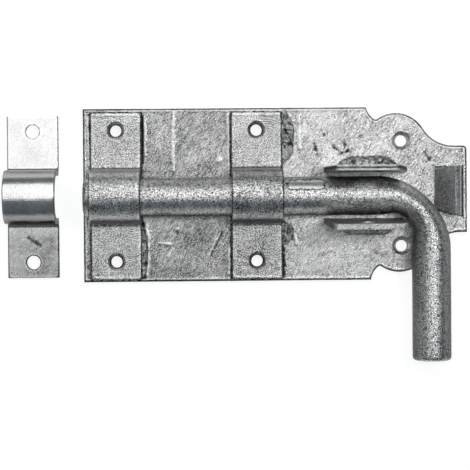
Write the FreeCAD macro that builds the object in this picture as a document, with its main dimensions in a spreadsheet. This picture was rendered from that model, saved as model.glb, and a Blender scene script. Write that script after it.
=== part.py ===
import FreeCAD, Part
import Sketcher
import os
import re

# Padbolt: a round bolt with a bent handle, held to a shaped backplate by two
# hat-shaped straps, with two lugs for a padlock beside it and a separate keeper.
# Millimetres. The back face of the plate is z = 0 and its middle is the origin.
# +X runs along the bolt to the handle's end, +Y across the plate, +Z to the front.

doc = FreeCAD.newDocument("padbolt")

SIZES = [
    # Backplate
    ("plate_length", 200.0),
    ("plate_width", 90.0),
    ("plate_thick", 4.0),
    ("plate_edge_round", 0.5),
    ("notch_round", 1.4),
    ("shoulder_inset", 52.5),
    ("notch_bulge", 0.9),
    ("lobe_inset", 37.1),
    ("lobe_drop", 3.2),
    ("lobe_radius", 16.7),
    ("lobe_notch_angle", 128.0),
    ("lower_shoulder_shift", 2.0),
    ("lower_lobe_shift", 1.6),
    ("lower_lobe_rise", 0.8),
    ("neck_top", 24.7),
    ("neck_bottom", 20.5),
    ("cove_radius", 18.4),
    ("neck_corner", 2.0),
    # Window in the neck and the stop tongue lanced out of it
    ("window_end_margin", 1.8),
    ("window_length", 16.0),
    ("window_side_margin", 10.5),
    ("window_width", 22.9),
    ("window_flare", 4.0),
    ("tongue_side_gap", 0.35),
    ("tongue_angle", 47.0),
    ("tongue_bend", 2.0),
    ("tongue_shear_drag", 0.8),
    # Screw holes
    ("screw_hole", 6.0),
    ("sink_angle", 90.0),
    ("lobe_hole_shift", 2.8),
    ("lobe_hole_rise", 2.3),
    ("lobe_hole_sink", 9.5),
    ("strap_hole_sink", 9.2),
    ("strap_hole_margin", 9.0),
    ("keeper_hole", 7.2),
    # Bolt and its bent handle
    ("bolt_dia", 20.0),
    ("bolt_lift", 0.4),
    ("bolt_sag", 0.6),
    ("tip_inset", 0.8),
    ("tip_round", 2.6),
    ("elbow_radius", 23.8),
    ("elbow_lead", 6.0),
    ("elbow_flatten", 2.5),
    ("elbow_end_share", 0.1),
    ("elbow_lead_share", 0.02),
    ("handle_reach", 85.3),
    ("handle_round", 2.2),
    # Straps and keeper
    ("strap_width", 26.5),
    ("strap_end_inset", 2.0),
    ("strap_thick", 3.0),
    ("strap_drop", 0.5),
    ("strap_edge_round", 0.5),
    ("strap_foot_round", 2.0),
    ("front_strap_inset", 3.85),
    ("loop_side_clear", 0.9),
    ("loop_top_clear", 0.8),
    ("keeper_hole_margin", 8.0),
    ("keeper_gap", 12.95),
    # Padlock lugs
    ("handle_seat_clear", 1.9),
    ("upper_lug_base", 43.5),
    ("upper_lug_top", 33.0),
    ("upper_lug_slant", 2.8),
    ("lower_lug_base", 41.0),
    ("lower_lug_top", 37.6),
    ("lower_lug_slant", 2.1),
    ("lug_height", 36.0),
    ("lug_thick", 3.0),
    ("lug_corner", 3.0),
    ("lug_edge_round", 0.4),
    ("upper_lug_clear", 2.2),
    ("lower_lug_clear", 1.6),
    ("lower_lug_lean", 4.4),
    ("padlock_hole", 11.0),
    ("padlock_hole_over_bolt", 1.2),
    ("padlock_hole_place", 20.0),
    ("handle_rest_clear", 0.95),
    ("handle_before_tongue", 2.5),
    # Weld beads
    ("lug_weld_length", 33.0),
    ("lug_weld_place", 22.6),
    ("lug_weld_end", 10.0),
    ("upper_lug_weld_leg", 5.5),
    ("lower_lug_weld_leg", 6.0),
    ("rear_weld_width", 6.5),
    ("front_weld_width", 3.2),
    ("strap_weld_rise", 2.2),
    ("rear_upper_weld_y", 29.8),
    ("rear_upper_weld_length", 28.0),
    ("rear_lower_weld_y", 20.2),
    ("rear_lower_weld_length", 12.0),
    ("front_weld_y", 29.0),
    ("front_weld_length", 27.0),
]

sheet = doc.addObject("Spreadsheet::Sheet", "Sizes")
for row, (size_name, size_value) in enumerate(SIZES, start=1):
    sheet.set(f"A{row}", size_name)
    sheet.set(f"B{row}", str(size_value))
    sheet.setAlias(f"B{row}", size_name)
doc.recompute()

size_words = re.compile(r"\b(" + "|".join(name for name, _ in SIZES) + r")\b")


def formula(text):
    """An expression in size names, with each name pointed at the sheet."""
    return size_words.sub(r"Sizes.\1", text)


def measure(text):
    """The present value of such an expression."""
    return float(sheet.evalExpression(formula(text)))


# How far off a measured place may be, where edges are picked out by their place
TOLERANCE = 1e-4

# Places that several pieces share, as expressions in the sizes above
STRAP_Y = "(-strap_drop)"
BOLT_Y = "(-strap_drop - bolt_sag)"
BOLT_Z = "(plate_thick + bolt_lift + bolt_dia / 2)"
FRONT_STRAP_X = "(front_strap_inset + strap_width / 2 - plate_length / 2)"
KEEPER_X = "(-plate_length / 2 - keeper_gap - strap_width / 2)"
WINDOW_RIGHT_X = "(plate_length / 2 - window_end_margin)"
WINDOW_LEFT_X = f"({WINDOW_RIGHT_X} - window_length)"
WINDOW_HIGH_Y = "(neck_top - window_side_margin)"
WINDOW_LOW_Y = f"({WINDOW_HIGH_Y} - window_width)"
WINDOW_END_LOW_Y = f"({WINDOW_LOW_Y} - window_flare)"
HANDLE_X = f"({WINDOW_LEFT_X} - handle_before_tongue)"
LUG_LEFT_X = f"({HANDLE_X} - bolt_dia / 2 - handle_rest_clear - upper_lug_base)"
REAR_STRAP_X = f"({LUG_LEFT_X} - handle_seat_clear - bolt_dia - strap_width / 2)"
LOBE_X = "(plate_length / 2 - lobe_inset)"
LOBE_Y = "(plate_width / 2 - lobe_drop - lobe_radius)"
STRAP_LENGTH = "(plate_width - 2 * strap_end_inset)"
HOLE_SPACING = f"({STRAP_LENGTH} - 2 * strap_hole_margin)"
KEEPER_LENGTH = f"({HOLE_SPACING} + 2 * keeper_hole_margin)"
LOOP_INNER = "(bolt_dia / 2 + loop_side_clear)"
LOOP_HEIGHT = "(bolt_lift + bolt_dia + loop_top_clear)"
UPPER_LUG_Y = f"({BOLT_Y} + bolt_dia / 2 + upper_lug_clear)"
LOWER_LUG_Y = f"({BOLT_Y} - bolt_dia / 2 - lower_lug_clear)"


def new_body(label):
    body = doc.addObject("PartDesign::Body", label)
    body.Label = label
    doc.recompute()
    return body


def new_sketch(body, name, plane_role, offset="0"):
    """A sketch on one of the body's own planes, lifted along that plane's normal."""
    sketch = body.newObject("Sketcher::SketchObject", name)
    plane = next(item for item in body.Origin.OriginFeatures if item.Role == plane_role)
    sketch.AttachmentSupport = [(plane, "")]
    sketch.MapMode = "FlatFace"
    sketch.setExpression("AttachmentOffset.Base.z", formula(offset))
    return sketch


def bind(sketch, constraint, text):
    index = sketch.addConstraint(constraint)
    sketch.setExpression(f"Constraints[{index}]", formula(text))


def fix_point(sketch, geometry, point, x_text, y_text):
    bind(sketch, Sketcher.Constraint("DistanceX", -1, 1, geometry, point, measure(x_text)), x_text)
    bind(sketch, Sketcher.Constraint("DistanceY", -1, 1, geometry, point, measure(y_text)), y_text)


def add_circle(sketch, x_text, y_text, radius_text):
    centre = FreeCAD.Vector(measure(x_text), measure(y_text), 0)
    radius = measure(radius_text)
    circle = sketch.addGeometry(Part.Circle(centre, FreeCAD.Vector(0, 0, 1), radius))
    fix_point(sketch, circle, 3, x_text, y_text)
    bind(sketch, Sketcher.Constraint("Radius", circle, radius), radius_text)


def arc_between(start, end, radius, turn):
    """The short arc from start to end; turn is 1 to the left or -1 to the right."""
    chord = end.sub(start)
    centre_offset = (radius ** 2 - (chord.Length / 2) ** 2) ** 0.5
    left = FreeCAD.Vector(-chord.y, chord.x, 0).normalize()
    centre = start.add(end).multiply(0.5).add(left.multiply(centre_offset * turn))
    first, last = (start, end) if turn > 0 else (end, start)
    first_angle = FreeCAD.Vector(1, 0, 0).getAngle(first.sub(centre))
    last_angle = FreeCAD.Vector(1, 0, 0).getAngle(last.sub(centre))
    if first.y < centre.y:
        first_angle = -first_angle
    if last.y < centre.y:
        last_angle = -last_angle
    circle = Part.Circle(centre, FreeCAD.Vector(0, 0, 1), radius)
    return Part.ArcOfCircle(circle, first_angle, last_angle)


def add_outline(sketch, corners):
    """A closed outline. Each corner is x, y and, where an arc leaves it, radius and turn."""
    points = [FreeCAD.Vector(measure(corner[0]), measure(corner[1]), 0) for corner in corners]
    ends = []
    for index, corner in enumerate(corners):
        start = points[index]
        end = points[(index + 1) % len(points)]
        if len(corner) == 2:
            run = sketch.addGeometry(Part.LineSegment(start, end))
            ends.append((run, 1, 2))
            continue
        radius = measure(corner[2])
        run = sketch.addGeometry(arc_between(start, end, radius, corner[3]))
        bind(sketch, Sketcher.Constraint("Radius", run, radius), corner[2])
        ends.append((run, 1, 2) if corner[3] > 0 else (run, 2, 1))
    for index, (run, start_point, _) in enumerate(ends):
        before, _, before_point = ends[index - 1]
        sketch.addConstraint(Sketcher.Constraint("Coincident", before, before_point, run, start_point))
        fix_point(sketch, run, start_point, corners[index][0], corners[index][1])


def add_pad(body, name, sketch, length_text, midplane=False, backwards=False):
    pad = body.newObject("PartDesign::Pad", name)
    pad.Profile = sketch
    pad.setExpression("Length", formula(length_text))
    pad.Midplane = midplane
    pad.Reversed = backwards
    body.Tip = pad
    doc.recompute()
    return pad


def add_pocket(body, name, sketch):
    """A cut right through, both ways from its sketch."""
    pocket = body.newObject("PartDesign::Pocket", name)
    pocket.Profile = sketch
    pocket.Type = "ThroughAll"
    pocket.Midplane = True
    body.Tip = pocket
    doc.recompute()
    return pocket


def add_sunk_holes(body, name, sketch, hole_text, sink_text):
    """Countersunk holes drilled down from their sketch."""
    hole = body.newObject("PartDesign::Hole", name)
    hole.Profile = sketch
    doc.recompute()
    hole.DepthType = "ThroughAll"
    hole.HoleCutType = "Countersink"
    hole.HoleCutCustomValues = True
    hole.setExpression("HoleCutCountersinkAngle", formula("sink_angle"))
    hole.setExpression("Diameter", formula(hole_text))
    hole.setExpression("HoleCutDiameter", formula(sink_text))
    body.Tip = hole
    doc.recompute()
    return hole


def round_edges(body, name, wanted, radius_text):
    """Rounds the edges of the body's last feature that the test picks out."""
    base = body.Tip
    names = [f"Edge{number}" for number, edge in enumerate(base.Shape.Edges, start=1) if wanted(edge)]
    fillet = body.newObject("PartDesign::Fillet", name)
    fillet.Base = (base, names)
    fillet.setExpression("Radius", formula(radius_text))
    body.Tip = fillet
    doc.recompute()
    return fillet


def place(item, x_text="0", y_text="0", z_text="0"):
    item.setExpression("Placement.Base.x", formula(x_text))
    item.setExpression("Placement.Base.y", formula(y_text))
    item.setExpression("Placement.Base.z", formula(z_text))


def lies_at_height(edge, height):
    box = edge.BoundBox
    return abs(box.ZMin - height) < TOLERANCE and abs(box.ZMax - height) < TOLERANCE


# Backplate: straight sides, a notch and a lobe at each shoulder, a narrower neck
# past them, and a tongue cut free on three sides and bent up out of the neck

class Lobe:
    """One side's notch, lobe and cove, as expressions with y counted away from the middle."""

    def __init__(self, shoulder_x, x, y, neck):
        self.shoulder_x = shoulder_x
        self.x = x
        self.y = y
        self.top = f"({y} + lobe_radius)"
        self.notch_x = f"({x} + lobe_radius * cos(lobe_notch_angle * 1deg))"
        self.notch_y = f"({y} + lobe_radius * sin(lobe_notch_angle * 1deg))"
        run = f"(({self.notch_x} - {shoulder_x})^2 + (plate_width / 2 - {self.notch_y})^2)"
        self.notch_radius = f"({run} / (8 * notch_bulge) + notch_bulge / 2)"

        # The cove runs tangent out of the lobe into the neck
        cove_rise = f"({neck} + cove_radius - {y})"
        share = "(lobe_radius / (lobe_radius + cove_radius))"
        self.cove_x = f"({x} + sqrt((lobe_radius + cove_radius)^2 - {cove_rise}^2))"
        self.end_x = f"({x} + ({self.cove_x} - {x}) * {share})"
        self.end_y = f"({y} + {cove_rise} * {share})"


UPPER_LOBE = Lobe("(plate_length / 2 - shoulder_inset)", LOBE_X, LOBE_Y, "neck_top")
LOWER_LOBE = Lobe("(plate_length / 2 - shoulder_inset + lower_shoulder_shift)",
                  f"({LOBE_X} + lower_lobe_shift)", f"({LOBE_Y} - lower_lobe_rise)", "neck_bottom")


def backplate_corners():
    end_x = "(plate_length / 2)"
    half = "(plate_width / 2)"
    upper, lower = UPPER_LOBE, LOWER_LOBE
    return [
        (f"-{end_x}", f"-{half}"),
        (lower.shoulder_x, f"-{half}", lower.notch_radius, -1),
        (lower.notch_x, f"-{lower.notch_y}", "lobe_radius", 1),
        (lower.x, f"-{lower.top}", "lobe_radius", 1),
        (lower.end_x, f"-{lower.end_y}", "cove_radius", -1),
        (lower.cove_x, "-neck_bottom"),
        (end_x, "-neck_bottom"),
        (end_x, "neck_top - neck_corner", "neck_corner", 1),
        (f"{end_x} - neck_corner", "neck_top"),
        (upper.cove_x, "neck_top", "cove_radius", -1),
        (upper.end_x, upper.end_y, "lobe_radius", 1),
        (upper.x, upper.top, "lobe_radius", 1),
        (upper.notch_x, upper.notch_y, upper.notch_radius, -1),
        (upper.shoulder_x, half),
        (f"-{end_x}", half),
    ]


def tongue_corners():
    """The bent tongue from the side. A line a third of the way through keeps its length
    in the bend. The shears dragged the back of the end a little further."""
    turn = "(tongue_angle * 1deg)"
    outer = "(tongue_bend + plate_thick)"
    bend_z = "(plate_thick + tongue_bend)"
    bend_run = "((tongue_bend + plate_thick / 3) * tongue_angle * pi / 180)"
    straight = f"(window_length - {bend_run})"
    outer_run = f"({straight} + tongue_shear_drag)"
    inner_x = f"({WINDOW_LEFT_X} + tongue_bend * sin{turn})"
    inner_z = f"({bend_z} - tongue_bend * cos{turn})"
    outer_x = f"({WINDOW_LEFT_X} + {outer} * sin{turn})"
    outer_z = f"({bend_z} - {outer} * cos{turn})"
    return [
        (WINDOW_LEFT_X, "0", outer, 1),
        (outer_x, outer_z),
        (f"{outer_x} + {outer_run} * cos{turn}", f"{outer_z} + {outer_run} * sin{turn}"),
        (f"{inner_x} + {straight} * cos{turn}", f"{inner_z} + {straight} * sin{turn}"),
        (inner_x, inner_z, "tongue_bend", -1),
        (WINDOW_LEFT_X, "plate_thick"),
    ]


def make_tongue():
    body = new_body("Tongue")
    full_width = "(window_width + window_flare - 2 * tongue_side_gap)"
    middle_y = f"({WINDOW_HIGH_Y} - tongue_side_gap - {full_width} / 2)"
    side = new_sketch(body, "TongueSide", "XZ_Plane", f"-{middle_y}")
    add_outline(side, tongue_corners())
    add_pad(body, "TongueBar", side, full_width, midplane=True)

    flare = new_sketch(body, "TongueFlare", "XY_Plane")
    add_outline(flare, [
        (WINDOW_LEFT_X, f"{WINDOW_LOW_Y} + tongue_side_gap"),
        (WINDOW_LEFT_X, WINDOW_END_LOW_Y),
        (WINDOW_RIGHT_X, WINDOW_END_LOW_Y),
        (WINDOW_RIGHT_X, f"{WINDOW_END_LOW_Y} + tongue_side_gap"),
    ])
    add_pocket(body, "TongueFlareCut", flare)
    return body


def make_plate():
    body = new_body("Plate")
    outline = new_sketch(body, "PlateOutline", "XY_Plane")
    add_outline(outline, backplate_corners())
    add_pad(body, "PlateBar", outline, "plate_thick")

    notch_places = [measure(lobe.notch_x) for lobe in (UPPER_LOBE, LOWER_LOBE)]
    top = measure("plate_thick")

    def in_notch(edge):
        upright = edge.BoundBox.ZLength > top / 2
        return upright and any(abs(edge.CenterOfMass.x - place_x) < TOLERANCE for place_x in notch_places)

    round_edges(body, "NotchRounds", in_notch, "notch_round")
    round_edges(body, "PlateEdge", lambda edge: lies_at_height(edge, top), "plate_edge_round")

    window = new_sketch(body, "WindowOutline", "XY_Plane")
    add_outline(window, [
        (WINDOW_LEFT_X, WINDOW_LOW_Y),
        (WINDOW_RIGHT_X, WINDOW_END_LOW_Y),
        (WINDOW_RIGHT_X, WINDOW_HIGH_Y),
        (WINDOW_LEFT_X, WINDOW_HIGH_Y),
    ])
    add_pocket(body, "Window", window)

    strap_holes = new_sketch(body, "StrapHoles", "XY_Plane")
    for strap_x in (FRONT_STRAP_X, REAR_STRAP_X):
        for side in ("+", "-"):
            add_circle(strap_holes, strap_x, f"{STRAP_Y} {side} {HOLE_SPACING} / 2", "screw_hole / 2")
    add_pocket(body, "ScrewsUnderStraps", strap_holes)

    lobe_holes = new_sketch(body, "LobeHoles", "XY_Plane", "plate_thick")
    for side in ("", "-"):
        add_circle(lobe_holes, f"{LOBE_X} + lobe_hole_shift", f"{side}({LOBE_Y} + lobe_hole_rise)",
                   "screw_hole / 2")
    add_sunk_holes(body, "LobeScrews", lobe_holes, "screw_hole", "lobe_hole_sink")
    return body


def make_backplate():
    backplate = doc.addObject("Part::MultiFuse", "backplate")
    backplate.Label = "backplate"
    backplate.Shapes = [make_plate(), make_tongue()]
    doc.recompute()
    return backplate


# Straps and keeper: one flat bar bent to a hat, with a foot at each side of the loop

def strap_corners(length_text, height_text):
    half = f"({length_text} / 2)"
    inner = LOOP_INNER
    outer = f"({LOOP_INNER} + strap_thick)"
    arch = f"({height_text} - {LOOP_INNER})"
    foot_x = f"({outer} + strap_foot_round)"
    foot_z = "(strap_thick + strap_foot_round)"
    return [
        (f"-{half}", "0"),
        (f"-{foot_x}", "0", foot_z, 1),
        (f"-{inner}", foot_z),
        (f"-{inner}", arch, inner, -1),
        ("0", f"{arch} + {inner}", inner, -1),
        (inner, arch),
        (inner, foot_z, foot_z, 1),
        (foot_x, "0"),
        (half, "0"),
        (half, "strap_thick"),
        (foot_x, "strap_thick", "strap_foot_round", -1),
        (outer, foot_z),
        (outer, arch, outer, 1),
        ("0", f"{arch} + {outer}", outer, 1),
        (f"-{outer}", arch),
        (f"-{outer}", foot_z, "strap_foot_round", -1),
        (f"-{foot_x}", "strap_thick"),
        (f"-{half}", "strap_thick"),
    ]


def outer_rim(half, outer, arch, foot_top, foot_round, half_width):
    """Wires along the front side of a strap, at both of its long sides."""
    wires = []
    for x in (-half_width, half_width):
        for side in (-1, 1):
            foot_end = FreeCAD.Vector(x, side * half, foot_top)
            foot_start = FreeCAD.Vector(x, side * (outer + foot_round), foot_top)
            turn_half = foot_round * (1 - 0.5 ** 0.5)
            turn_mid = FreeCAD.Vector(x, side * (outer + turn_half), foot_top + turn_half)
            leg_start = FreeCAD.Vector(x, side * outer, foot_top + foot_round)
            leg_end = FreeCAD.Vector(x, side * outer, arch)
            crown_mid = FreeCAD.Vector(x, side * outer * 0.5 ** 0.5, arch + outer * 0.5 ** 0.5)
            crown = FreeCAD.Vector(x, 0, arch + outer)
            wires.append(Part.Wire([
                Part.makeLine(foot_end, foot_start),
                Part.Arc(foot_start, turn_mid, leg_start).toShape(),
                Part.makeLine(leg_start, leg_end),
                Part.Arc(leg_end, crown_mid, crown).toShape(),
            ]))
    return Part.Compound(wires)


def make_strap(label, x_text, base_text, length_text, height_text, hole_text, sink_text=None):
    body = new_body(label)
    profile = new_sketch(body, f"{label}_profile", "YZ_Plane")
    add_outline(profile, strap_corners(length_text, height_text))
    add_pad(body, f"{label}_bar", profile, "strap_width", midplane=True)

    half_width = measure("strap_width / 2")
    rim = outer_rim(
        measure(f"{length_text} / 2"),
        measure(f"{LOOP_INNER} + strap_thick"),
        measure(f"{height_text} - {LOOP_INNER}"),
        measure("strap_thick"),
        measure("strap_foot_round"),
        half_width,
    )

    def on_outer_rim(edge):
        box = edge.BoundBox
        on_side = abs(abs(box.XMin) - half_width) < TOLERANCE and box.XMax - box.XMin < TOLERANCE
        return on_side and Part.Vertex(edge.CenterOfMass).distToShape(rim)[0] < TOLERANCE

    round_edges(body, f"{label}_edges", on_outer_rim, "strap_edge_round")

    holes = new_sketch(body, f"{label}_holes", "XY_Plane", "strap_thick")
    add_circle(holes, "0", f"{HOLE_SPACING} / 2", f"{hole_text} / 2")
    add_circle(holes, "0", f"-{HOLE_SPACING} / 2", f"{hole_text} / 2")
    if sink_text:
        add_sunk_holes(body, f"{label}_screws", holes, hole_text, sink_text)
    else:
        add_pocket(body, f"{label}_screws", holes)
    place(body, x_text, STRAP_Y, base_text)
    return body


# Bolt: a round bar with a rounded tip, bent hot to a handle, which left the bend
# thinner in its own plane. Its own frame has the bar's axis on X, at z = 0.

# Steps in which the bend's section is turned from the bar to the handle
ELBOW_STEPS = 6


def make_bar(label, length_text, end_round_text):
    """A round bar along +X from the body's origin, with its far end's rim rounded."""
    body = new_body(label)
    profile = new_sketch(body, f"{label}_profile", "XZ_Plane")
    add_outline(profile, [
        ("0", "0"),
        (length_text, "0"),
        (length_text, f"bolt_dia / 2 - {end_round_text}", end_round_text, 1),
        (f"{length_text} - {end_round_text}", "bolt_dia / 2"),
        ("0", "bolt_dia / 2"),
    ])
    turned = body.newObject("PartDesign::Revolution", f"{label}_turned")
    turned.Profile = profile
    turned.ReferenceAxis = (profile, ["H_Axis"])
    turned.Angle = 360
    body.Tip = turned
    doc.recompute()
    return body


def make_section(number, turn, x_text, y_text, thin_text):
    """One oval section of the elbow, square to the bar's line where that has turned so far."""
    section = doc.addObject("Part::Ellipse", f"ElbowSection{number}")
    section.setExpression("MajorRadius", formula("bolt_dia / 2"))
    section.setExpression("MinorRadius", formula(f"bolt_dia / 2 - {thin_text}"))
    section.Placement = FreeCAD.Placement(FreeCAD.Vector(), FreeCAD.Rotation(-turn, -90, 0))
    place(section, x_text, y_text)
    return section


def make_bolt():
    bend_x = f"({HANDLE_X} - elbow_radius)"
    lead_x = f"({bend_x} - elbow_lead)"
    lead_y = "(-elbow_radius - elbow_lead)"

    shank = make_bar("Shank", f"{lead_x} + plate_length / 2 - tip_inset", "tip_round")
    shank.Placement = FreeCAD.Placement(FreeCAD.Vector(), FreeCAD.Rotation(180, 0, 0))
    place(shank, lead_x)

    handle = make_bar("Handle", "handle_reach - elbow_radius - elbow_lead", "handle_round")
    handle.Placement = FreeCAD.Placement(FreeCAD.Vector(), FreeCAD.Rotation(-90, 0, 0))
    place(handle, HANDLE_X, lead_y)

    lead_thin = "elbow_lead_share * elbow_flatten"
    sections = [
        make_section(0, 0, lead_x, "0", "0"),
        make_section(1, 0, f"{lead_x} + elbow_lead / 2", "0", lead_thin),
    ]
    for step in range(ELBOW_STEPS + 1):
        turn = 90 * step / ELBOW_STEPS
        x_text = f"{bend_x} + elbow_radius * sin({turn}deg)"
        y_text = f"elbow_radius * (cos({turn}deg) - 1)"
        thin_text = f"elbow_flatten * (elbow_end_share + (1 - elbow_end_share) * sin({2 * turn}deg))"
        sections.append(make_section(step + 2, turn, x_text, y_text, thin_text))
    sections.append(make_section(ELBOW_STEPS + 3, 90, HANDLE_X, f"{lead_y} + elbow_lead / 2", lead_thin))
    sections.append(make_section(ELBOW_STEPS + 4, 90, HANDLE_X, lead_y, "0"))
    elbow = doc.addObject("Part::Loft", "Elbow")
    elbow.Sections = sections
    elbow.Solid = True
    elbow.Ruled = False
    elbow.MaxDegree = 5
    doc.recompute()

    bolt = doc.addObject("Part::MultiFuse", "bolt")
    bolt.Label = "bolt"
    bolt.Shapes = [shank, elbow, handle]
    place(bolt, "0", BOLT_Y, BOLT_Z)
    doc.recompute()
    return bolt


# Padlock lugs: flat bars on edge beside the bolt, sloped at both ends, each with
# an eye over the bolt for a padlock's shackle

def make_lug(label, y_text, lean_text):
    body = new_body(label)
    side = new_sketch(body, f"{label}_side", "XZ_Plane")
    add_outline(side, [
        ("0", "0"),
        (f"{label}_base", "0"),
        (f"{label}_slant + {label}_top", "lug_height"),
        (f"{label}_slant", "lug_height"),
    ])
    eye_z = "bolt_lift + bolt_dia + padlock_hole_over_bolt + padlock_hole / 2"
    add_circle(side, "padlock_hole_place", eye_z, "padlock_hole / 2")
    add_pad(body, f"{label}_bar", side, "lug_thick", backwards=True)

    lug_top = measure("lug_height")
    thick = measure("lug_thick")

    def at_top_corner(edge):
        box = edge.BoundBox
        across = box.XLength < TOLERANCE and abs(box.YLength - thick) < TOLERANCE
        return across and abs(box.ZMin - lug_top) < TOLERANCE

    round_edges(body, f"{label}_corners", at_top_corner, "lug_corner")

    eye_radius = measure("padlock_hole / 2")

    def on_rim(edge):
        box = edge.BoundBox
        round_eye = isinstance(edge.Curve, Part.Circle) and abs(edge.Curve.Radius - eye_radius) < TOLERANCE
        return box.YLength < TOLERANCE and box.ZMax > TOLERANCE and not round_eye

    round_edges(body, f"{label}_rim", on_rim, "lug_edge_round")
    body.Placement = FreeCAD.Placement(FreeCAD.Vector(), FreeCAD.Rotation(FreeCAD.Vector(1, 0, 0), 1))
    body.setExpression("Placement.Rotation.Angle", formula(lean_text))
    place(body, LUG_LEFT_X, y_text, "plate_thick")
    return body


# Weld beads: along the lugs a bar of weld metal tapered at both ends, which fills the
# corner between plate and lug, and along the straps a flatter bead against their edge

def make_lug_bead(label, base_y_text, leg, corner_angle, backwards):
    body = new_body(label)
    plan = new_sketch(body, f"{label}_plan", "XY_Plane")
    half = "(lug_weld_length / 2)"
    end_arc = f"((lug_weld_end^2 + {leg}^2) / (2 * {leg}))"
    side, turn = ("-", 1) if backwards else ("", -1)
    add_outline(plan, [
        (f"-{half}", "0", end_arc, turn),
        (f"lug_weld_end - {half}", f"{side}{leg}"),
        (f"{half} - lug_weld_end", f"{side}{leg}", end_arc, turn),
        (half, "0"),
    ])
    swept = body.newObject("PartDesign::Revolution", f"{label}_metal")
    swept.Profile = plan
    swept.ReferenceAxis = (plan, ["H_Axis"])
    swept.Reversed = backwards
    swept.setExpression("Angle", formula(corner_angle))
    body.Tip = swept
    place(body, f"({LUG_LEFT_X} + lug_weld_place)", base_y_text, "plate_thick")
    doc.recompute()
    return body


def make_strap_bead(label, strap_x, y_text, width, half_length):
    """A quarter of a stretched ball on the plate, against a strap's right-hand edge."""
    edge_x = f"({strap_x} + strap_width / 2)"
    ball = doc.addObject("Part::Ellipsoid", f"{label}_ball")
    ball.setExpression("Radius1", formula("strap_weld_rise"))
    ball.setExpression("Radius2", formula(width))
    ball.setExpression("Radius3", formula(half_length))
    ball.Angle1 = 0
    ball.Angle2 = 90
    ball.Angle3 = 360
    place(ball, edge_x, y_text, "plate_thick")

    outside = doc.addObject("Part::Box", f"{label}_outside")
    outside.setExpression("Length", formula(f"2 * {width}"))
    outside.setExpression("Width", formula(f"4 * {half_length}"))
    outside.setExpression("Height", formula("2 * strap_weld_rise"))
    place(outside, edge_x, f"{y_text} - 2 * {half_length}", "plate_thick")
    bead = doc.addObject("Part::Common", label)
    bead.Base = ball
    bead.Tool = outside
    bead.Label = label
    doc.recompute()
    return bead


def make_beads():
    return [
        make_lug_bead("upper_lug_weld", f"({UPPER_LUG_Y} + lug_thick)", "upper_lug_weld_leg", "90", False),
        make_lug_bead("lower_lug_weld", f"({LOWER_LUG_Y} - lug_thick)", "lower_lug_weld_leg",
                      "90 - lower_lug_lean", True),
        make_strap_bead("front_strap_weld", FRONT_STRAP_X, "(-front_weld_y)", "front_weld_width",
                        "(front_weld_length / 2)"),
        make_strap_bead("rear_strap_weld_upper", REAR_STRAP_X, "rear_upper_weld_y", "rear_weld_width",
                        "(rear_upper_weld_length / 2)"),
        make_strap_bead("rear_strap_weld_lower", REAR_STRAP_X, "(-rear_lower_weld_y)", "rear_weld_width",
                        "(rear_lower_weld_length / 2)"),
    ]


def make_parts():
    keeper_height = f"(plate_thick + {LOOP_HEIGHT})"
    return [
        make_backplate(),
        make_strap("front_strap", FRONT_STRAP_X, "plate_thick", STRAP_LENGTH, LOOP_HEIGHT,
                   "screw_hole", "strap_hole_sink"),
        make_strap("rear_strap", REAR_STRAP_X, "plate_thick", STRAP_LENGTH, LOOP_HEIGHT,
                   "screw_hole", "strap_hole_sink"),
        make_strap("keeper", KEEPER_X, "0", KEEPER_LENGTH, keeper_height, "keeper_hole"),
        make_bolt(),
        make_lug("upper_lug", UPPER_LUG_Y, "0"),
        make_lug("lower_lug", f"{LOWER_LUG_Y} - lug_thick", "lower_lug_lean"),
        *make_beads(),
    ]


parts = make_parts()
doc.recompute()

for item in doc.Objects:
    bad_states = [state for state in item.State if state in ("Invalid", "Error")]
    if bad_states:
        raise RuntimeError(f"{item.Name} did not build: {item.State}")
for part in parts:
    if part.Shape.isNull() or not part.Shape.isValid():
        raise RuntimeError(f"{part.Label} has no valid solid")

os.makedirs("parts", exist_ok=True)
for part in parts:
    part.Shape.exportStep(f"parts/{part.Label}.step")
    print(part.Label, len(part.Shape.Solids), round(part.Shape.Volume, 1), part.Shape.BoundBox)
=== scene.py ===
import math

import bmesh
import bpy
from mathutils import Matrix, Vector, kdtree, noise


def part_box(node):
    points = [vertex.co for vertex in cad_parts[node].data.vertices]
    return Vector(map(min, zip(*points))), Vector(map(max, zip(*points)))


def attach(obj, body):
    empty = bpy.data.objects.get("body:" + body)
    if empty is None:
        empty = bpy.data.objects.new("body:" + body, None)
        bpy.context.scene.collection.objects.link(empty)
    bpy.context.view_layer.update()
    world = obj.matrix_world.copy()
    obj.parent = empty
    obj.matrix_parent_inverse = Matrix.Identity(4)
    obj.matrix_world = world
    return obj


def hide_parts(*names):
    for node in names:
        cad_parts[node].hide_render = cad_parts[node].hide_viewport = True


# Galvanised padbolt on its backplate, with its keeper beside it, seen from straight above.
# Sizes are in millimetres and become metres by MM. The plate's back lies on z = 0.

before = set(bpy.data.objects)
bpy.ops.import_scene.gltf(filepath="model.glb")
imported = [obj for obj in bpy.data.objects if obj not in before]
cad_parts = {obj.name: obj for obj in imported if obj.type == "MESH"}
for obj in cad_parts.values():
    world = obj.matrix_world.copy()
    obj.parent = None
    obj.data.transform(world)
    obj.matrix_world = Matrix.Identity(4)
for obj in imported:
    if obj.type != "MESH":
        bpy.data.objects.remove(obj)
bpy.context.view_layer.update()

MM = 0.001


# Zinc skin: a CAD node's own form, cut into even cells so that its coat can be uneven

# What lies lower than this, in millimetres, is the mounting plane and stays as it is
MOUNTING_PLANE = 0.01

# Upper side of the straps' feet, in millimetres
FOOT_TOP = 7.5

# How far the strongest mark rises or sinks, in millimetres
MARK_RISE = 0.3

# Points closer than this, in metres, are one point
SAME_POINT = 2e-6

# Faces that meet at a smaller angle are one flat face, and at a larger angle a sharp edge
FLAT_ANGLE = math.radians(0.1)
SHARP_ANGLE = math.radians(40)


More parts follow.
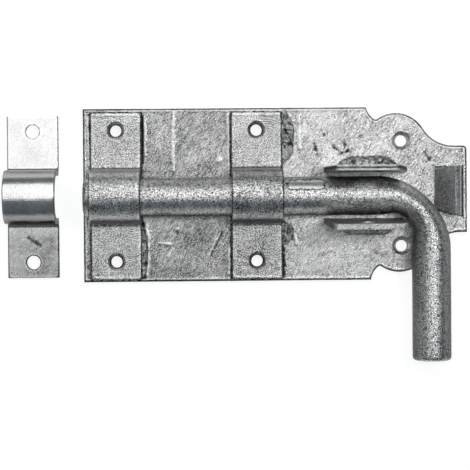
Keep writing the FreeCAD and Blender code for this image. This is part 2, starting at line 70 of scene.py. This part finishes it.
def cut_even(bm, axis, step):
    """Cuts a mesh square to one axis into even cells, none longer than step.
    What lies on the mounting plane, out of sight, stays whole."""
    places = [vert.co[axis] for vert in bm.verts]
    low, high = min(places), max(places)
    cells = int((high - low) / (step * MM)) + 1
    normal = Vector((0, 0, 0))
    normal[axis] = 1

    def halve(faces, first, last):
        if first > last or not faces:
            return
        middle = (first + last) // 2
        point = Vector((0, 0, 0))
        point[axis] = low + (high - low) * middle / cells
        geometry = set(faces)
        for face in faces:
            geometry.update(face.edges)
            geometry.update(face.verts)
        cut = bmesh.ops.bisect_plane(
            bm, geom=list(geometry), dist=1e-7, plane_co=point, plane_no=normal)
        found = [item for item in cut["geom"] if isinstance(item, bmesh.types.BMFace)]
        below = [face for face in found if face.calc_center_median()[axis] < point[axis]]
        above = [face for face in found if face.calc_center_median()[axis] >= point[axis]]
        halve(below, first, middle - 1)
        halve(above, middle + 1, last)

    raised = [face for face in bm.faces if max(vert.co.z for vert in face.verts) > MOUNTING_PLANE * MM]
    halve(raised, 1, cells - 1)


def coated(node, body, steps, height, edges=0.0, marks=()):
    """A piece in a CAD node's place and form, cut into cells of those steps along X, Y and Z,
    with its skin raised by height(place). Marks, and edge lines of that strength along its cut
    sides, raise or sink its top further, and are kept with its points for its finish. There the
    edge lines are painted shade right at the cut edges and a painted highlight just inside them."""
    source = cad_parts[node]
    bm = bmesh.new()
    bm.from_mesh(source.data)
    bmesh.ops.remove_doubles(bm, verts=bm.verts, dist=SAME_POINT)
    bmesh.ops.dissolve_limit(bm, angle_limit=FLAT_ANGLE, verts=bm.verts, edges=bm.edges)
    for axis, step in enumerate(steps):
        cut_even(bm, axis, step)
    bm.normal_update()
    layer = bm.verts.layers.float.new("marks")
    way_to_edge = edge_finder(bm)
    moves = []
    for vert in bm.verts:
        place = vert.co / MM
        mark = 0
        if vert.normal.z > 0.5:
            mark = mark_at(place, marks) + edges * edge_dip_and_painted_light(way_to_edge(place))
            mark = min(max(mark, -1), 1)
        vert[layer] = mark
        if place.z > MOUNTING_PLANE:
            rise = height(place) + MARK_RISE * mark
            moves.append((vert, vert.normal * rise * MM))
    for vert, move in moves:
        vert.co += move
    mesh = bpy.data.meshes.new(f"{node}_coated")
    bm.to_mesh(mesh)
    bm.free()
    mesh.shade_smooth()
    mesh.set_sharp_from_angle(angle=SHARP_ANGLE)
    piece = bpy.data.objects.new(f"{node}_coated", mesh)
    bpy.context.scene.collection.objects.link(piece)
    weighted = piece.modifiers.new("even_shading", "WEIGHTED_NORMAL")
    weighted.keep_sharp = True
    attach(piece, body)
    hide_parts(node)
    return piece


# A way in millimetres at which no edge line is left
FAR_AWAY = 9


def edge_finder(bm):
    """A function that tells how far in millimetres a place lies from the piece's cut edges."""
    raised = [vert for vert in bm.verts if vert.co.z > MOUNTING_PLANE * MM]
    edges = [vert.co / MM for vert in raised if on_cut_edge(vert)]
    tree = kdtree.KDTree(len(edges))
    for index, place in enumerate(edges):
        tree.insert(place, index)
    tree.balance()
    return lambda place: tree.find(place)[2] if edges else FAR_AWAY


def on_cut_edge(vert):
    """Whether a point lies on a sheared side: at an end along X, or low beside a foot."""
    low_side = vert.co.z < FOOT_TOP * MM and abs(vert.normal.z) < 0.6
    return low_side or abs(vert.normal.x) > 0.8


def edge_dip_and_painted_light(way):
    """The coat sinks right at a cut edge and rises just inside it; in the finish the same values are
    painted shade at the edge and a painted highlight just inside it.
    """
    edge_dip_and_shade = min(max((0.6 - way) / 0.3, 0), 1)
    edge_rise_and_highlight = min(max(1 - abs(way - 1.1) / 0.5, 0), 1)
    return 0.6 * edge_rise_and_highlight - 0.65 * edge_dip_and_shade


def waves(place, size, seed):
    """Smooth noise from -1 to 1, with bumps of about that size in millimetres."""
    return noise.noise(Vector((place.x + seed * 37, place.y - seed * 19, place.z)) / size)


def mark_at(place, marks):
    """The height of the marks at a place. Each is a line's start and end, its half width,
    and its height from -1, a pit, to 1, a ridge."""
    total = 0
    for start, end, half, rise in marks:
        run_x, run_y = end[0] - start[0], end[1] - start[1]
        way_x, way_y = place.x - start[0], place.y - start[1]
        along = (way_x * run_x + way_y * run_y) / max(run_x ** 2 + run_y ** 2, 1e-9)
        along = min(max(along, 0), 1)
        way = math.hypot(way_x - along * run_x, way_y - along * run_y)
        if way < half * 3 + 1:
            way += 0.7 * waves(place, 1.6, 7)
            total += rise * min(max(2.2 - way / half, 0), 1)
    return total


def thin_coat(place):
    """The zinc's own unevenness, in millimetres."""
    return 0.05 * waves(place, 9, 1) + 0.025 * waves(place, 2.5, 2)


def weld_ripples(place):
    """The ripples of a run of weld metal, in millimetres."""
    return 0.55 * waves(place, 2.6, 3) + 0.25 * waves(place, 1.2, 4)


# Zinc finishes

def tinted(grey):
    """A grey of the zinc: cool where it is dark and a little warm where it is bright."""
    warmth = min((grey - 0.2) * 0.14, 0.014)
    return grey * (1 + warmth), grey, grey * (1 - warmth)


class Nodes:
    """A material's node tree, with short ways to add nodes and join them."""

    def __init__(self, name):
        self.material = bpy.data.materials.new(name)
        self.material.use_nodes = True
        self.tree = self.material.node_tree
        self.tree.nodes.clear()
        coordinates = self.add("ShaderNodeTexCoord")
        self.place = coordinates.outputs["Object"]
        self.normal = coordinates.outputs["Normal"]

    def add(self, kind, **settings):
        node = self.tree.nodes.new(kind)
        for name, value in settings.items():
            setattr(node, name, value)
        return node

    def join(self, output, socket):
        self.tree.links.new(output, socket)

    def feed(self, node, values):
        for socket, value in zip(node.inputs, values):
            if isinstance(value, (int, float, tuple)):
                socket.default_value = value
            else:
                self.join(value, socket)

    def math(self, operation, *values, clamp=False):
        node = self.add("ShaderNodeMath", operation=operation, use_clamp=clamp)
        self.feed(node, values)
        return node.outputs[0]

    def vector(self, operation, *values):
        node = self.add("ShaderNodeVectorMath", operation=operation)
        self.feed(node, values)
        return node.outputs["Value" if operation in ("DOT_PRODUCT", "LENGTH") else "Vector"]

    def part(self, vector, axis):
        node = self.add("ShaderNodeSeparateXYZ")
        self.join(vector, node.inputs[0])
        return node.outputs[axis]

    def noise(self, size, detail=2.0, roughness=0.5, turn=0.0, stretch=(1, 1, 1)):
        """Noise with spots of about that size in millimetres, stretched and then turned about Z."""
        mapping = self.add("ShaderNodeMapping", vector_type="TEXTURE")
        mapping.inputs["Rotation"].default_value = (0, 0, math.radians(turn))
        mapping.inputs["Scale"].default_value = stretch
        self.join(self.place, mapping.inputs["Vector"])
        texture = self.add("ShaderNodeTexNoise")
        texture.inputs["Scale"].default_value = 1 / (size * MM)
        texture.inputs["Detail"].default_value = detail
        texture.inputs["Roughness"].default_value = roughness
        self.join(mapping.outputs[0], texture.inputs["Vector"])
        return texture.outputs["Fac"]

    def mapped(self, value, low, high, to_low=0.0, to_high=1.0):
        """The value, carried from one range to another and kept inside it."""
        node = self.add("ShaderNodeMapRange")
        self.feed(node, (value, low, high, to_low, to_high))
        return node.outputs[0]

    def flat_place(self):
        """The place in millimetres, seen from above."""
        return self.vector("MULTIPLY", self.place, (1 / MM, 1 / MM, 0))

    def way_to_line(self, start, end):
        """How far in millimetres a place lies from a line between two points, seen from above."""
        start = Vector((*start, 0))
        run = Vector((*end, 0)) - start
        way = self.vector("SUBTRACT", self.flat_place(), tuple(start))
        along = self.vector("DOT_PRODUCT", way, tuple(run))
        along = self.math("DIVIDE", along, run.length_squared, clamp=True)
        node = self.add("ShaderNodeVectorMath", operation="SCALE")
        node.inputs[0].default_value = run
        self.join(along, node.inputs["Scale"])
        return self.vector("LENGTH", self.vector("SUBTRACT", way, node.outputs[0]))

    def way_out_of_box(self, centre, half):
        """How far in millimetres a place lies outside an upright box, seen from above."""
        way = self.vector("SUBTRACT", self.flat_place(), (*centre, 0))
        beyond = self.vector("SUBTRACT", self.vector("ABSOLUTE", way), (*half, 0))
        return self.math("MAXIMUM", self.part(beyond, 0), self.part(beyond, 1))

    def ramp(self, value, stops):
        """Greys along a value, as pairs of place and grey."""
        node = self.add("ShaderNodeValToRGB")
        elements = node.color_ramp.elements
        while len(elements) < len(stops):
            elements.new(0.5)
        for element, (place, grey) in zip(elements, stops):
            element.position = place
            element.color = (*tinted(grey), 1)
        self.join(value, node.inputs[0])
        return node.outputs[0]


# Marks in the plate's coat, in millimetres: bare dark lines and pits, and raised zinc
PLATE_MARKS = [
    ((-69.2, 41), (-69.3, 17), 0.35, -1),
    ((-69.1, -15), (-68.8, -42.5), 0.35, -1),
    ((3.8, 42), (3.8, 15), 0.35, -1),
    ((3.8, -14), (3.9, -42.5), 0.35, -1),
    ((78.2, 21.4), (80.8, 17.2), 0.4, -0.6),
    ((-34.4, -31.9), (-28.1, -19.9), 0.35, -0.7),
    ((20.8, 24.5), (21.4, 22.6), 0.5, -0.9),
    ((19.7, 26.2), (20.0, 26.0), 0.4, -0.6),
    ((22.0, 20.6), (22.4, 20.0), 0.4, -0.6),
    ((30.0, 24.6), (32.4, 22.6), 0.45, -0.8),
    ((36.4, 25.9), (36.6, 25.6), 0.4, -0.6),
    ((34.6, 20.9), (38.0, 22.2), 0.4, -0.6),
    ((25.4, 31.0), (25.6, 30.8), 0.4, -0.6),
    ((44.5, 30.4), (44.8, 30.2), 0.4, -0.6),
    ((52.0, -31.0), (52.4, -31.0), 0.4, -0.6),
    ((-51.2, -19.6), (-51.0, -19.8), 0.4, -0.6),
    ((-68.0, 40), (-67.5, 21), 0.4, 0.7),
    ((-67.3, -15), (-66.2, -27), 0.4, 0.7),
    ((-66.2, -27), (-67.2, -42), 0.4, 0.7),
    ((-97.3, 40), (-97.0, 16), 0.4, 0.7),
    ((-24.2, 42), (-24.3, 15), 0.4, 0.7),
    ((-24.2, -28), (-24.4, -41), 0.4, 0.7),
    ((-53.0, 43.2), (-53.3, 13), 0.4, 0.7),
    ((-29.3, -20.6), (-35.0, -31.2), 0.4, 0.7),
    ((-60.4, -24.9), (-54.1, -25.6), 0.35, 0.8),
    ((-54.1, -28.6), (-56.2, -31.7), 0.35, 0.9),
    ((-29.3, 18.1), (-29.1, 19.0), 0.77, 1),
    ((-51.7, -17.6), (-51.2, -17.4), 0.49, 1),
    ((28.2, -28.8), (28.3, -28.8), 0.56, 0.7),
    ((12.6, 41), (12.8, 24), 0.4, 0.7),
    ((10.0, -21.5), (10.6, -26.0), 0.49, 1),
]

# The middle line of the seam on the upper lug, in millimetres
LUG_SEAM_Y = 12.7

# The scuff on the keeper's lower foot, and the middles of its holes, in millimetres
KEEPER_SCUFF = ((-128.5, -21.5), (-122.5, -25.5))
KEEPER_HOLES_X = -126.2
KEEPER_HOLES_Y = (33.5, -34.5)

# The run of zinc on the bolt beside the rear strap, in millimetres
ZINC_RUN = ((7.6, 4.5), (22, 4.7))


def waver(nodes, wobble, reach):
    """A way in millimetres to either side, which makes a mark's rim uneven."""
    return nodes.math("MULTIPLY", nodes.math("SUBTRACT", wobble, 0.5), reach)


def plate_flecks_and_painted_shade(nodes, tone, wobble):
    """The plate is flecked and brighter past the rear strap, with painted shade toward the tongue's
    bend and close round the straps' feet.
    """
    flecks = nodes.noise(1.5, 3, 0.7)
    tone = nodes.math("ADD", tone, nodes.mapped(flecks, 0.61, 0.68, 0, 0.5))
    tone = nodes.math("SUBTRACT", tone, nodes.mapped(flecks, 0.31, 0.38, 0.5, 0))
    along = nodes.part(nodes.flat_place(), 0)
    tone = nodes.math("ADD", tone, nodes.mapped(along, -10, 22, -0.03, 0.17))
    # Painted shade toward the tongue, where the plate turns up into its bend.
    tone = nodes.math("ADD", tone, nodes.mapped(along, 66, 79, 0, -0.12))
    uneven = waver(nodes, wobble, 2.2)
    # Painted shade: a dark ring on the plate round each strap's foot, where the two meet.
    for node in ("front_strap", "rear_strap"):
        way = nodes.math("ADD", nodes.way_out_of_box(*foot_print(node)), uneven)
        tone = nodes.math("SUBTRACT", tone, nodes.mapped(way, 0.25, 0.75, 0.8, 0))
    return tone


def bolt_marks(nodes, tone, wobble):
    """A pale run of zinc on the bolt, with a dark rim."""
    way = nodes.math("ADD", nodes.way_to_line(*ZINC_RUN), waver(nodes, wobble, 5))
    inside = nodes.mapped(way, 1.8, 2.2, 0.7, 0)
    tone = nodes.math("MULTIPLY_ADD", nodes.math("SUBTRACT", 0.68, tone), inside, tone)
    rim = nodes.math("ABSOLUTE", nodes.math("SUBTRACT", way, 2.5))
    return nodes.math("SUBTRACT", tone, nodes.mapped(rim, 0.1, 0.45, 0.7, 0))


def strap_darkening_and_painted_shade(nodes, tone, wobble):
    """The straps are darker toward the handle, and have painted shade on their lower feet."""
    place = nodes.flat_place()
    tone = nodes.math("ADD", tone, nodes.mapped(nodes.part(place, 0), -65, -25, 0, -0.1))
    # Painted shade: the lower feet are darker, where less light falls.
    return nodes.math("ADD", tone, nodes.mapped(nodes.part(place, 1), -18, -8, -0.07, 0))


def lug_marks(nodes, tone, wobble):
    """A dark seam along the upper lug."""
    place = nodes.flat_place()
    way = nodes.math("ABSOLUTE", nodes.math("SUBTRACT", nodes.part(place, 1), LUG_SEAM_Y))
    return nodes.math("SUBTRACT", tone, nodes.mapped(way, 0.35, 0.7, 0.45, 0))


def keeper_scuff_and_painted_shade(nodes, tone, wobble):
    """The keeper has painted shade on its lower foot and round its holes' rims, and one scuff on that
    foot.
    """
    across = nodes.part(nodes.flat_place(), 1)
    # Painted shade: the lower foot is darker, where less light falls.
    tone = nodes.math("ADD", tone, nodes.mapped(across, -22, 0, -0.36, 0))
    way = nodes.math("ADD", nodes.way_to_line(*KEEPER_SCUFF), waver(nodes, wobble, 2.5))
    tone = nodes.math("SUBTRACT", tone, nodes.mapped(way, 0.5, 1.4, 0.16, 0))
    # Painted shade in a ring round each hole's rim.
    for hole_y in KEEPER_HOLES_Y:
        way = nodes.way_to_line((KEEPER_HOLES_X, hole_y - 0.01), (KEEPER_HOLES_X, hole_y))
        tone = nodes.math("SUBTRACT", tone, nodes.mapped(way, 3.8, 4.15, 0.25, 0))
    return tone


def zinc(name, greys, shares, roughness, bump, side, end, calm=0.6, marks=None):
    """Galvanised steel: greys from dark to light, the shares of clouds, mottles, grain and
    slanting scratches in them, its roughness from least to most, the height of its bumps in
    millimetres, how bright its sides and its ends along X are painted against its top, as painted
    shade below 1 and painted light above 1, and how much of the pattern is left on sides."""
    nodes = Nodes(name)
    mottles = nodes.noise(2.2, 4, 0.65)
    patterns = (
        nodes.noise(14, 3, 0.55),
        mottles,
        nodes.noise(0.5, 2, 0.7),
        nodes.noise(0.35, 2, 0.6, turn=52, stretch=(7, 1, 1)),
    )
    upward = nodes.math("ABSOLUTE", nodes.part(nodes.normal, 2))
    endward = nodes.math("ABSOLUTE", nodes.part(nodes.normal, 0))
    spread = 0.0
    for pattern, share in zip(patterns, shares):
        spread = nodes.math("MULTIPLY_ADD", nodes.math("SUBTRACT", pattern, 0.5), share, spread)
    tone = nodes.math("MULTIPLY_ADD", spread, nodes.mapped(upward, 0.6, 0.9, calm, 1), 0.5)
    if marks:
        tone = marks(nodes, tone, mottles)
    # Kept marks in the colour: pits and ridges of the coat, and at cut edges painted shade with a
    # painted highlight just inside.
    kept_marks_and_edge_light = nodes.add("ShaderNodeAttribute", attribute_name="marks").outputs["Fac"]
    tone = nodes.math("MULTIPLY_ADD", kept_marks_and_edge_light, 0.85, tone)
    colour = nodes.ramp(tone, [(0.0, 0.02), (0.14, greys[0]), (0.5, greys[1]), (0.86, greys[2])])
    # Painted shade: sides and ends along X are darkened in the colour where they turn from the light;
    # on the plate, with end above 1, its ends along X get painted light.
    painted_side_shade = nodes.mapped(upward, 0.35, 0.9, side, 1)
    painted_end_light_and_shade = nodes.mapped(endward, 0.3, 0.9, 1, end)
    painted_light_and_shade = nodes.math("MULTIPLY", painted_side_shade, painted_end_light_and_shade)
    shaded = nodes.add("ShaderNodeVectorMath", operation="SCALE")
    nodes.join(colour, shaded.inputs[0])
    nodes.join(painted_light_and_shade, shaded.inputs["Scale"])

    shader = nodes.add("ShaderNodeBsdfPrincipled")
    shader.inputs["Metallic"].default_value = 1
    nodes.join(shaded.outputs[0], shader.inputs["Base Color"])
    face_dullness = nodes.mapped(mottles, 0.3, 0.7, *roughness)
    end_dullness = nodes.mapped(endward, 0.45, 0.72, 0, 0.25)
    nodes.join(nodes.math("ADD", face_dullness, end_dullness), shader.inputs["Roughness"])

    relief = nodes.add("ShaderNodeBump")
    relief.inputs["Strength"].default_value = 1
    relief.inputs["Distance"].default_value = bump * MM
    nodes.join(tone, relief.inputs["Height"])
    nodes.join(relief.outputs[0], shader.inputs["Normal"])
    output = nodes.add("ShaderNodeOutputMaterial")
    nodes.join(shader.outputs[0], output.inputs["Surface"])
    return nodes.material


def foot_print(node):
    """A node's middle and half size in millimetres, seen from above."""
    low, high = (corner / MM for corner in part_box(node))
    return ((low.x + high.x) / 2, (low.y + high.y) / 2), ((high.x - low.x) / 2, (high.y - low.y) / 2)


def dress(piece, material):
    piece.data.materials.clear()
    piece.data.materials.append(material)


plate_zinc = zinc(
    "plate_zinc",
    greys=(0.06, 0.27, 0.6),
    shares=(0.8, 0.5, 3.2, 1.8),
    roughness=(0.24, 0.32),
    bump=0.04,
    side=0.7,
    end=2.4,
    calm=0.3,
    marks=plate_flecks_and_painted_shade,
)
strap_zinc = zinc(
    "strap_zinc",
    greys=(0.07, 0.43, 0.85),
    shares=(0.6, 0.9, 5.4, 1.3),
    roughness=(0.27, 0.35),
    bump=0.03,
    side=0.85,
    end=0.3,
    calm=0.35,
    marks=strap_darkening_and_painted_shade,
)
lug_zinc = zinc(
    "lug_zinc",
    greys=(0.1, 0.5, 0.92),
    shares=(0.5, 0.8, 2.3, 0.6),
    roughness=(0.26, 0.34),
    bump=0.1,
    side=1.0,
    end=0.4,
    marks=lug_marks,
)
keeper_zinc = zinc(
    "keeper_zinc",
    greys=(0.26, 0.68, 0.94),
    shares=(0.3, 0.3, 0.7, 0.2),
    roughness=(0.2, 0.26),
    bump=0.03,
    side=0.25,
    end=0.6,
    marks=keeper_scuff_and_painted_shade,
)
bolt_zinc = zinc(
    "bolt_zinc",
    greys=(0.09, 0.47, 0.88),
    shares=(0.4, 0.8, 4.4, 0.1),
    roughness=(0.24, 0.32),
    bump=0.04,
    side=0.75,
    end=0.35,
    calm=1.0,
    marks=bolt_marks,
)
weld_zinc = zinc(
    "weld_zinc",
    greys=(0.06, 0.6, 0.95),
    shares=(0.4, 3.2, 1.6, 0.0),
    roughness=(0.2, 0.3),
    bump=0.35,
    side=0.8,
    end=0.8,
)
# Painted shadow: a near-black finish for the sheets in the tongue's shear cuts.
painted_gap_shadow = zinc(
    "painted_gap_shadow",
    greys=(0.02, 0.06, 0.14),
    shares=(0.4, 1.0, 1.0, 0.0),
    roughness=(0.4, 0.5),
    bump=0.05,
    side=0.5,
    end=0.5,
)

# Cells of the skin in millimetres, along X, Y and Z
PLATE_CELLS = (0.6, 0.6, 9)
STRAP_CELLS = (0.8, 0.8, 0.8)
LUG_CELLS = (0.9, 9, 0.9)
BOLT_CELLS = (0.9, 0.9, 9)
WELD_CELLS = (0.5, 0.5, 0.5)

plate = coated("backplate", "base", PLATE_CELLS, thin_coat, 1, PLATE_MARKS)
dress(plate, plate_zinc)
for strap in ("front_strap", "rear_strap"):
    dress(coated(strap, "base", STRAP_CELLS, thin_coat, 1), strap_zinc)
dress(coated("keeper", "base", STRAP_CELLS, thin_coat, 0.25), keeper_zinc)
for lug in ("upper_lug", "lower_lug"):
    dress(coated(lug, "base", LUG_CELLS, thin_coat), lug_zinc)
dress(coated("bolt", "sliding_bolt", BOLT_CELLS, thin_coat), bolt_zinc)
welds = (
    "upper_lug_weld",
    "lower_lug_weld",
    "front_strap_weld",
    "rear_strap_weld_upper",
    "rear_strap_weld_lower",
)
for weld in welds:
    dress(coated(weld, "base", WELD_CELLS, weld_ripples), weld_zinc)


# Dark sheets of painted shadow in the shear cuts beside the tongue, where the gaps lie in shade

# Lower and upper side of the shadow sheets, in millimetres
SHEET_LOW = 0.6
SHEET_HIGH = 1.6


def add_shadow_sheet(name, start, end, width):
    """A thin dark bar of painted shadow between two points seen from above, low in the plate's
    thickness.
    """
    start = Vector((*start, 0))
    end = Vector((*end, 0))
    run = end - start
    bm = bmesh.new()
    bmesh.ops.create_cube(bm, size=MM)
    bmesh.ops.scale(bm, vec=Vector((run.length, width, SHEET_HIGH - SHEET_LOW)), verts=bm.verts)
    turn = Matrix.Rotation(math.atan2(run.y, run.x), 3, "Z")
    bmesh.ops.rotate(bm, cent=Vector((0, 0, 0)), matrix=turn, verts=bm.verts)
    middle = (start + end) / 2 + Vector((0, 0, (SHEET_LOW + SHEET_HIGH) / 2))
    bmesh.ops.translate(bm, vec=middle * MM, verts=bm.verts)
    mesh = bpy.data.meshes.new(name)
    bm.to_mesh(mesh)
    bm.free()
    shadow_sheet = bpy.data.objects.new(name, mesh)
    bpy.context.scene.collection.objects.link(shadow_sheet)
    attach(shadow_sheet, "base")
    dress(shadow_sheet, painted_gap_shadow)


add_shadow_sheet("lower_tongue_shadow_sheet", (83.5, -8.8), (97.4, -12.2), 1.4)
add_shadow_sheet("upper_tongue_shadow_sheet", (83.5, 13.75), (97.4, 13.75), 0.8)
add_shadow_sheet("end_tongue_shadow_sheet", (97.5, -12.4), (97.5, 13.8), 1.3)


# Floor: white to the eye and in reflections, an ordinary pale surface to the light

# Half the floor's width in metres, and how far it lies under the plate in millimetres
FLOOR_HALF = 30
FLOOR_DROP = 0.2

# What the eye sees of the floor: its own white, and the grey that keeps the object's shadow
FLOOR_GLOW = 0.85
SHADOW_GREY = 0.3


def make_floor():
    bm = bmesh.new()
    bmesh.ops.create_grid(bm, x_segments=1, y_segments=1, size=FLOOR_HALF)
    mesh = bpy.data.meshes.new("floor")
    bm.to_mesh(mesh)
    bm.free()
    floor = bpy.data.objects.new("floor", mesh)
    floor.location.z = -FLOOR_DROP * MM
    bpy.context.scene.collection.objects.link(floor)

    nodes = Nodes("white_floor")
    pale = nodes.add("ShaderNodeBsdfDiffuse")
    pale.inputs["Color"].default_value = (0.8, 0.8, 0.8, 1)
    glow = nodes.add("ShaderNodeEmission")
    glow.inputs["Strength"].default_value = FLOOR_GLOW
    seen = nodes.add("ShaderNodeBsdfDiffuse")
    seen.inputs["Color"].default_value = (SHADOW_GREY, SHADOW_GREY, SHADOW_GREY, 1)
    white = nodes.add("ShaderNodeAddShader")
    nodes.join(glow.outputs[0], white.inputs[0])
    nodes.join(seen.outputs[0], white.inputs[1])
    path = nodes.add("ShaderNodeLightPath")
    eye = nodes.math("MAXIMUM", path.outputs["Is Camera Ray"], path.outputs["Is Glossy Ray"])
    eye = nodes.math("MAXIMUM", eye, path.outputs["Is Transmission Ray"])
    mix = nodes.add("ShaderNodeMixShader")
    nodes.join(eye, mix.inputs[0])
    nodes.join(pale.outputs[0], mix.inputs[1])
    nodes.join(white.outputs[0], mix.inputs[2])
    output = nodes.add("ShaderNodeOutputMaterial")
    nodes.join(mix.outputs[0], output.inputs["Surface"])
    dress(floor, nodes.material)


# Light: one wide softbox above the plate's top side, a small lamp at the right, and low fills

def add_softbox(name, place, size_x, size_y, watts):
    """A rectangle of light in metres, aimed at the middle of the plate."""
    light = bpy.data.lights.new(name, "AREA")
    light.shape = "RECTANGLE"
    light.size = size_x
    light.size_y = size_y
    light.energy = watts
    lamp = bpy.data.objects.new(name, light)
    lamp.location = place
    lamp.rotation_mode = "QUATERNION"
    lamp.rotation_quaternion = Vector(place).to_track_quat("Z", "Y")
    lamp.visible_camera = False
    bpy.context.scene.collection.objects.link(lamp)


def light_scene():
    world = bpy.data.worlds.new("studio")
    bpy.context.scene.world = world
    world.use_nodes = True
    background = world.node_tree.nodes["Background"]
    background.inputs["Color"].default_value = (0.75, 0.92, 1, 1)
    background.inputs["Strength"].default_value = 0.18
    add_softbox("top_softbox", (-0.12, 0.47, 1.0), 1.2, 1.38, 7.0)
    add_softbox("right_lamp", (0.42, 0.12, 1.0), 0.22, 0.22, 1.7)
    add_softbox("left_fill", (-1.0, -0.1, 0.22), 0.4, 0.3, 0.8)
    add_softbox("front_strip", (0, -1.2, 0.1), 1.6, 0.12, 0.35)


# Camera: above the plate and a little to its left, aimed at the middle of the photo

# Where the camera is and what it looks at, in millimetres, and its turn about its own axis
CAMERA_EYE = (-37.05, -9.0, 839.9)
CAMERA_AIM = (-21.31, -21.03, 4.0)
CAMERA_ROLL = math.radians(-0.479)


def place_camera():
    eye = Vector(CAMERA_EYE)
    aim = Vector(CAMERA_AIM)
    back = (eye - aim).normalized()
    right = Vector((0, 1, 0)).cross(back).normalized()
    up = back.cross(right)
    lens = bpy.data.cameras.new("camera")
    lens.sensor_width = 36
    lens.lens = 122.94
    lens.clip_end = 100
    camera = bpy.data.objects.new("camera", lens)
    square_on = Matrix((right, up, back)).transposed()
    turned = square_on @ Matrix.Rotation(CAMERA_ROLL, 3, "Z")
    camera.matrix_world = Matrix.LocRotScale(eye * MM, turned, None)
    bpy.context.scene.collection.objects.link(camera)
    bpy.context.scene.camera = camera


make_floor()
light_scene()
place_camera()
bpy.context.scene.view_settings.view_transform = "Standard"
